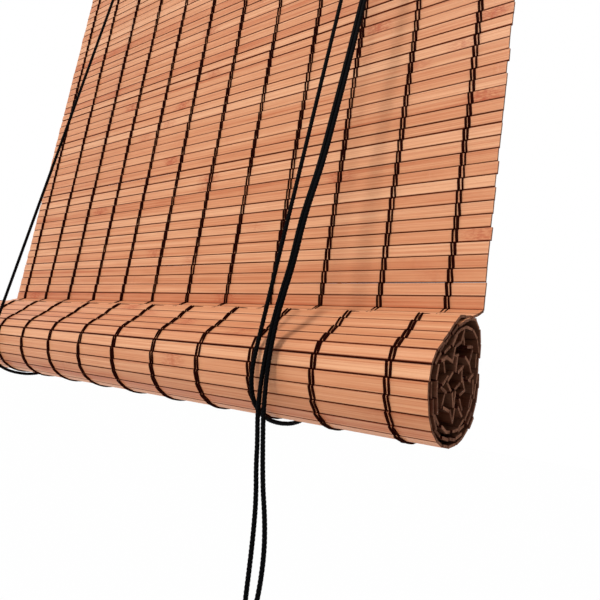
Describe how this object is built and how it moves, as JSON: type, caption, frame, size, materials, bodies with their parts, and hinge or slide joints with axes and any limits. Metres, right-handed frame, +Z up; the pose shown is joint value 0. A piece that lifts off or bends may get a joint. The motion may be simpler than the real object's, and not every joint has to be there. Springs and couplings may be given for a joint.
{
  "type": "bamboo roll up blind",
  "caption": "Roll-up blind of split bamboo slats woven on dark warp threads, half raised as a roll carried in two cord loops, with a cord lock and pull cords.",
  "frame": {"origin": "Midway between the two hanger holes, on the wall face of the hanger plates", "axes": "+Z up, +X along the slats to the side of the cord lock, the room side faces -Y"},
  "size_m": [0.6, 0.0994, 0.854],
  "materials": {
    "bamboo": "split bamboo, warm orange tan, satin skin side out",
    "warp_twine": "twisted twine, very dark red brown",
    "stained_wood": "sawn softwood, stained and lacquered",
    "zinc_steel": "zinc plated",
    "bright_steel": "turned pin",
    "sheave_nylon": "natural nylon",
    "cam_brass": "cast, satin",
    "black_cord": "twisted black cord, slight sheen",
    "turned_wood": "turned and lacquered"
  },
  "bodies": {
    "root": {"headrail_batten": "stained_wood", "headrail_strip": "stained_wood", "strip_screws": "zinc_steel", "hanger_plate_left": "zinc_steel", "hanger_plate_right": "zinc_steel", "hanger_screws": "zinc_steel", "pulley_bracket": "zinc_steel", "pulley_axle": "bright_steel", "lock_housing": "zinc_steel", "lock_axles": "bright_steel", "lock_cam_pin": "bright_steel", "fitting_screws": "zinc_steel", "slat_mat": "bamboo", "warp_thread_01": "warp_twine", "warp_thread_02": "warp_twine", "warp_thread_03": "warp_twine", "warp_thread_04": "warp_twine", "warp_thread_05": "warp_twine", "warp_thread_06": "warp_twine", "warp_thread_07": "warp_twine", "warp_thread_08": "warp_twine", "warp_thread_09": "warp_twine", "warp_thread_10": "warp_twine", "warp_thread_11": "warp_twine", "warp_thread_12": "warp_twine", "lift_cord_left": "black_cord", "lift_cord_right": "black_cord", "cord_knot_left": "black_cord", "cord_knot_right": "black_cord", "pull_cord_left": "black_cord", "pull_cord_right": "black_cord", "cord_pull": "turned_wood", "pull_knot": "black_cord"},
    "roll": {"slat_roll": "bamboo", "roll_thread_01": "warp_twine", "roll_thread_02": "warp_twine", "roll_thread_03": "warp_twine", "roll_thread_04": "warp_twine", "roll_thread_05": "warp_twine", "roll_thread_06": "warp_twine", "roll_thread_07": "warp_twine", "roll_thread_08": "warp_twine", "roll_thread_09": "warp_twine", "roll_thread_10": "warp_twine", "roll_thread_11": "warp_twine", "roll_thread_12": "warp_twine"},
    "left_sheave": {"pulley_sheave": "sheave_nylon"},
    "entry_sheave": {"lock_entry_sheave": "sheave_nylon"},
    "exit_sheave": {"lock_exit_sheave": "sheave_nylon"},
    "cam": {"lock_cam": "cam_brass"}
  },
  "joints": [
    {"name": "roll_lift", "type": "slide", "parent": "root", "child": "roll", "axis": [0, 0, 1], "range_m": [0, 0.09], "deforming": ["slat_mat", "warp_thread_01", "warp_thread_02", "warp_thread_03", "warp_thread_04", "warp_thread_05", "warp_thread_06", "warp_thread_07", "warp_thread_08", "warp_thread_09", "warp_thread_10", "warp_thread_11", "warp_thread_12", "lift_cord_left", "lift_cord_right"]},
    {"name": "left_sheave_spin", "type": "hinge", "parent": "root", "child": "left_sheave", "pos_m": [-0.1741, -0.0321, -0.031], "axis": [0, 1, 0], "range_deg": [0, 1258.2]},
    {"name": "entry_sheave_spin", "type": "hinge", "parent": "root", "child": "entry_sheave", "pos_m": [0.1905, -0.0321, -0.031], "axis": [0, 1, 0], "range_deg": [0, 1258.2]},
    {"name": "exit_sheave_spin", "type": "hinge", "parent": "root", "child": "exit_sheave", "pos_m": [0.2121, -0.0321, -0.031], "axis": [0, 1, 0], "range_deg": [0, 1258.2]},
    {"name": "cam_swing", "type": "hinge", "parent": "root", "child": "cam", "pos_m": [0.2142, -0.0321, -0.054], "axis": [0, 1, 0], "range_deg": [0, 55]}
  ],
  "couplings": [
    {"joint": "left_sheave_spin", "follows": "roll_lift", "rad_per_m": 243.9},
    {"joint": "entry_sheave_spin", "follows": "roll_lift", "rad_per_m": 243.9},
    {"joint": "exit_sheave_spin", "follows": "roll_lift", "rad_per_m": 243.9}
  ]
}
